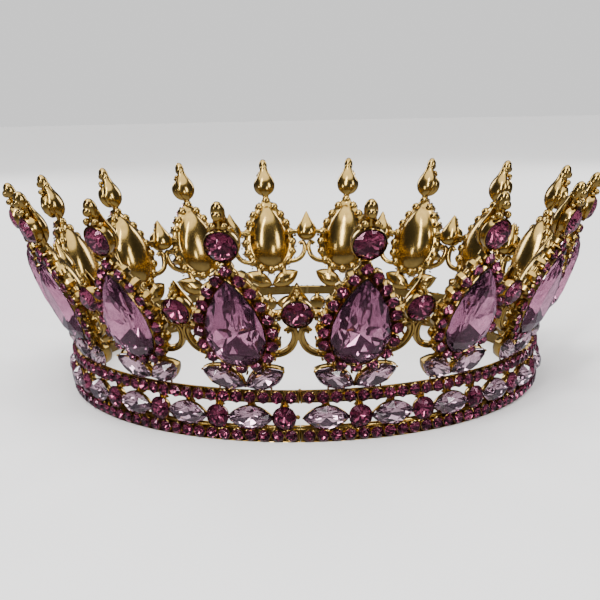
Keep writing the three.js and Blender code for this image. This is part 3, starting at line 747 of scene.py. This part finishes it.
# ---------- rails ----------
def rail_section(low_lip, top_lip):
    """Channel section (radius, z) that holds a row of small stones between two rounded lips."""
    return [(RAIL_BACK, 0.25), (RAIL_BACK + 0.2, 0.05),
            (low_lip - 0.1, 0.0), (low_lip, 0.08), (low_lip - 0.1, 0.18),
            (RAIL_FACE, 0.3), (RAIL_FACE, 3.0),
            (top_lip - 0.1, 3.12), (top_lip, 3.2), (top_lip - 0.1, 3.3),
            (RAIL_BACK + 0.2, 3.25), (RAIL_BACK, 3.05)]


def ledge_section():
    """The step above the lower rail."""
    return [(RAIL_BACK, 3.1), (70.95, 3.1), (71.0, 3.5), (70.8, 3.9), (RAIL_BACK + 0.4, 4.1),
            (RAIL_BACK, 3.95)]


def sweep(shape, section, z0):
    """Carries a section round each half, up to a hairline at the seams."""
    seam_gap, steps = 0.05, 120
    for half in (0, 180):
        rings = []
        for i in range(steps + 1):
            a = math.radians(half - (seam_gap + (180 - 2 * seam_gap) * i / steps))
            rings.append([(r * math.sin(a), -r * math.cos(a), z0 + z) for r, z in section])
        shape.loft(rings)


def small_seat():
    """Shallow cup of a small stone, with four beads on its edge."""
    shape = Shape()
    shape.lathe([(1.66, -1.7), (1.72, -0.25), (1.6, -0.2), (0.9, -1.2)], 8)
    for i in range(4):
        a = math.pi / 4 + i * math.pi / 2
        shape.ball(1.64 * math.cos(a), 1.55 * math.sin(a), -0.1, 0.19, 4)
    return shape


def small_stone():
    shape = Shape()
    shape.chaton(SMALL_R, 8, table_share=0.58, table_n=0.6, girdle_n=-0.05, foot_n=-0.17, tip_n=-1.15)
    return shape


rails = Shape()
sweep(rails, rail_section(71.9, 71.3), 0)
sweep(rails, rail_section(70.9, 71.1), UPPER_Z)
sweep(rails, ledge_section(), 0)
rails.object("gold_rails").data.materials.append(GOLD)
for label, z0, seed in (("lower", 0, 21), ("upper", UPPER_Z, 30)):
    middle_z = z0 + RAIL_H / 2
    ring(small_seat().object("seat"), f"gold_{label}_stone_seats", SMALL_ROW, BASE_R, middle_z, 0.0, GOLD)
    ring(small_stone().object("small", 0), f"{label}_small_stones", SMALL_ROW, BASE_R, middle_z, 0.0,
         ROSE, ROSE_FOIL, 6.0, seed)


# ---------- band ----------
def seat_posts(shape, half_height):
    """Posts behind a band seat: one to the upper rail and one to the lower rail."""
    shape.wire([(0, half_height - 0.7, -1.3), (0, half_height + 0.1, -0.8), (0, half_height + 0.9, -0.5),
                (0, 4.4, -0.6)], [1.3, 1.0, 0.95, 1.3], 12)
    shape.wire([(0, -half_height + 0.8, -1.3), (0, -half_height, -0.9), (0, -3.5, -0.8)],
               [1.1, 1.3, 1.4], 12)


def round_seat():
    """Cup of a band round, with four prongs."""
    shape = Shape()
    shape.lathe([(1.2, -1.4), (2.3, -1.15), (2.75, -0.3), (2.92, 0.6), (2.85, 0.75), (2.75, 0.5),
                 (2.4, -0.4), (1.2, -0.95)], 20)
    seat_posts(shape, ROUND_R)
    for degrees in (45, 135, 225, 315):
        a = math.radians(degrees)
        shape.ball(2.85 * math.cos(a), 2.85 * math.sin(a), 0.7, 0.28, 8)
    return shape


def navette_seat():
    """Cup of a band navette, with a prong at each tip and four along its edge."""
    shape = Shape()
    shape.stack([(navette(NAVETTE_L * k, NAVETTE_W * k, 28), n) for k, n in (
        (0.35, -1.4), (0.8, -1.0), (1.0, -0.2), (1.03, 0.45), (1.01, 0.65), (0.97, 0.4), (0.7, -0.5),
        (0.3, -0.85))])
    seat_posts(shape, NAVETTE_W / 2)
    tip, x, y = NAVETTE_L / 2, 2.2, 2.45
    for prong in ((-tip, 0), (tip, 0), (-x, y), (x, y), (-x, -y), (x, -y)):
        shape.ball(*prong, 0.6, 0.27, 8)
    return shape


def band_round():
    """Round cut flatter than a crest's."""
    shape = Shape()
    shape.crystal(circle(ROUND_R, 16), [(share, n * 0.8) for share, n in ROUND_CUT])
    return shape


def band_navette():
    shape = Shape()
    shape.crystal(navette(NAVETTE_L, NAVETTE_W, 12), NAVETTE_CUT)
    return shape


def seam_stub():
    """Bead and short pin beside a seam."""
    shape = Shape()
    shape.ball(0, 0, 0, 0.62, 12)
    shape.wire([(-1.2, 0, -0.2), (0.3, 0, -0.2)], [0.4, 0.4], 8)
    return shape


def strip_ends():
    """Upright bars that close the two rails at a seam."""
    shape = Shape()
    for z0 in (0.0, UPPER_Z):
        shape.wire([(0, z0 + 0.1, 0), (0, z0 + 0.4, 0), (0, z0 + 2.9, 0), (0, z0 + 3.2, 0)],
                   [0.2, 0.3, 0.3, 0.2], 10, 2.0)
    return shape


ring(round_seat().object("round_seat"), "gold_band_round_seats", BAND_ROUND_ROW, BAND_SEAT_R, BAND_Z, 0.0,
     GOLD)
ring(navette_seat().object("navette_seat"), "gold_band_navette_seats", BAND_NAVETTE_ROW, BAND_SEAT_R,
     BAND_Z, 0.0, GOLD)
ring(band_round().object("band_round", 0), "band_round_crystals", BAND_ROUND_ROW, BAND_SEAT_R + 0.85,
     BAND_Z, 0.0, ROSE, ROSE_FOIL, 4.0, 31)
ring(band_navette().object("band_navette", 0), "band_navette_crystals", BAND_NAVETTE_ROW, BAND_SEAT_R + 0.8,
     BAND_Z, 0.0, PALE, FOIL, 3.0, 37)
ring(seam_stub().object("stub"), "gold_seam_stubs", SEAM_STUB_ROW, 71.0, BAND_Z, 0.0, GOLD)
ring(strip_ends().object("end"), "gold_strip_ends", STRIP_END_ROW, 71.3, 0.0, 0.0, GOLD)


# ---------- solder ----------
def solder_joint():
    """A lump across each rail where the halves meet, with a bead on top."""
    shape = Shape()
    for z0 in (0.0, UPPER_Z):
        shape.wire([(0, z0 + 0.3, -0.2), (0, z0 + 0.8, 0), (0, z0 + 2.5, 0), (0, z0 + 3.1, -0.2)],
                   [0.45, 0.7, 0.7, 0.45], 12)
        shape.ball(0, z0 + 3.25, 0.4, 0.42, 12, 0.8)
    return shape


ring(solder_joint().object("solder"), "solder_joints", SEAM_ROW, 70.1, 0.0, 0.0, SOLDER)

# ---------- which casting or crystal each piece stands for ----------
nodes = sorted(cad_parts)
pieces = {o.name: o for o in bpy.context.scene.collection.objects
          if o.type == "MESH" and o.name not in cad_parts}
# A piece named here hides the parts whose names start with its entry. A look crystal hides its own part, and
# other pieces hide none.
STANDS_FOR = {
    "gold_rails": "frame_half", "gold_pear_settings": "frame_half", "solder_joints": "solder",
    "lower_small_stones": "lower_small", "upper_small_stones": "upper_small",
    "band_round_crystals": "band_stone", "band_navette_crystals": "band_stone",
}
for name, ob in pieces.items():
    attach(ob, "root")
    if "_look_" in name:
        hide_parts(name.replace("_look", ""))
    if name in STANDS_FOR:
        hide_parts(*[n for n in nodes if n.startswith(STANDS_FOR[name])])


# ---------- floor, light and camera ----------
def white_paper():
    """Matt white paper: an even white that takes soft shadows and has hardly any gloss."""
    m, t, shader, place = material("matt_white_paper")
    grain = node(t, "ShaderNodeTexNoise", {"Vector": place, "Scale": 3.0})
    mix = node(t, "ShaderNodeMix", {0: grain, MIX_A: linear("#F6F5F4"), MIX_B: linear("#F4F3F2")},
               data_type="RGBA")
    fill(t, shader, {"Base Color": mix.outputs[MIX_COLOUR], "Roughness": 0.9, "Specular IOR Level": 0.1})
    return m


FLOOR_R, FLOOR_POINTS = 6, 64
mesh = bpy.data.meshes.new("floor")
mesh.from_pydata([(x, y, 0) for x, y in circle(FLOOR_R, FLOOR_POINTS)], [], [tuple(range(FLOOR_POINTS))])
floor = put("floor", mesh)
floor.data.materials.append(white_paper())
# Mirrors don't show the floor, as if dark cards lay round the crown: it would wash out the gold from below.
floor.visible_glossy = False

# The room that the crown mirrors, by height from straight down (0) to straight up (1): pale below, dark
# cards from eye level upwards, and a pale ceiling. The camera itself sees plain white.
world = bpy.data.worlds.new("studio")
bpy.context.scene.world = world
world.use_nodes = True
wt = world.node_tree
wt.nodes.clear()
way = node(wt, "ShaderNodeSeparateXYZ", {0: node(wt, "ShaderNodeTexCoord").outputs["Generated"]})
height = node(wt, "ShaderNodeMapRange", {"Value": way.outputs["Z"], "From Min": -1.0})
ramp = node(wt, "ShaderNodeValToRGB", {0: height})
ramp.color_ramp.elements[0].position = 0.0
ramp.color_ramp.elements[0].color = (0.8, 0.79, 0.77, 1)
ramp.color_ramp.elements[1].position = 0.975
ramp.color_ramp.elements[1].color = (0.8, 0.8, 0.8, 1)
for at, level in ((0.25, 0.6), (0.42, 0.25), (0.52, 0.09), (0.8, 0.07), (0.9, 0.2)):
    ramp.color_ramp.elements.new(at).color = (level, level, level * 1.1, 1)
from_camera = node(wt, "ShaderNodeLightPath").outputs["Is Camera Ray"]
seen = node(wt, "ShaderNodeMix", {0: from_camera, MIX_A: ramp, MIX_B: (1.02, 1.02, 1.02, 1)},
            data_type="RGBA")
room = node(wt, "ShaderNodeBackground", {"Color": seen.outputs[MIX_COLOUR], "Strength": 1.0})
node(wt, "ShaderNodeOutputWorld", {"Surface": room})


def softbox(name, at, size, power):
    """Oblong lamp that faces the crown's foot."""
    light = bpy.data.lights.new(name, "AREA")
    light.shape, light.size, light.size_y, light.energy = "RECTANGLE", size[0], size[1], power
    ob = put(name, light)
    ob.location = at
    ob.rotation_euler = (Vector((0, 0, 0.03)) - Vector(at)).to_track_quat("-Z", "Y").to_euler()


sun = bpy.data.lights.new("ceiling", "SUN")
sun.energy, sun.angle = 3.3, math.radians(75)
put("ceiling", sun)
softbox("key_left", (-0.38, -0.85, 0.62), (0.12, 0.5), 6.0)
softbox("high_left", (-0.22, -0.5, 0.9), (0.1, 0.4), 4.0)
softbox("low_left", (-0.9, -0.75, 0.2), (0.12, 0.3), 2.0)
softbox("low_right", (0.55, -1.0, 0.22), (0.1, 0.3), 2.0)
softbox("key_right", (0.75, -0.55, 0.45), (0.2, 0.45), 4.0)
softbox("rear_left", (-0.6, 0.7, 0.45), (0.25, 0.5), 4.0)
softbox("rear_right", (0.6, 0.75, 0.45), (0.25, 0.5), 4.0)

# The camera stands in front, looks down and a little to the left, and is rolled by about a degree.
CAMERA_AT = Vector((6.085, -297.40, 81.99)) * MM
SWING, DIP, ROLL = math.radians(1.408), math.radians(11.44), math.radians(1.147)
LENS, SENSOR = 57.02, 36.0
right = Vector((math.cos(SWING), math.sin(SWING), 0))
ahead = Vector((-math.sin(SWING) * math.cos(DIP), math.cos(SWING) * math.cos(DIP), -math.sin(DIP)))
above = right.cross(ahead)
side_axis = right * math.cos(ROLL) - above * math.sin(ROLL)
top_axis = above * math.cos(ROLL) + right * math.sin(ROLL)
cam = bpy.data.cameras.new("camera")
cam.lens, cam.sensor_width, cam.clip_start, cam.clip_end = LENS, SENSOR, 0.01, 20.0
camera = put("camera", cam)
view = Matrix((side_axis, top_axis, -ahead)).transposed().to_4x4()
view.translation = CAMERA_AT
camera.matrix_world = view
bpy.context.scene.camera = camera
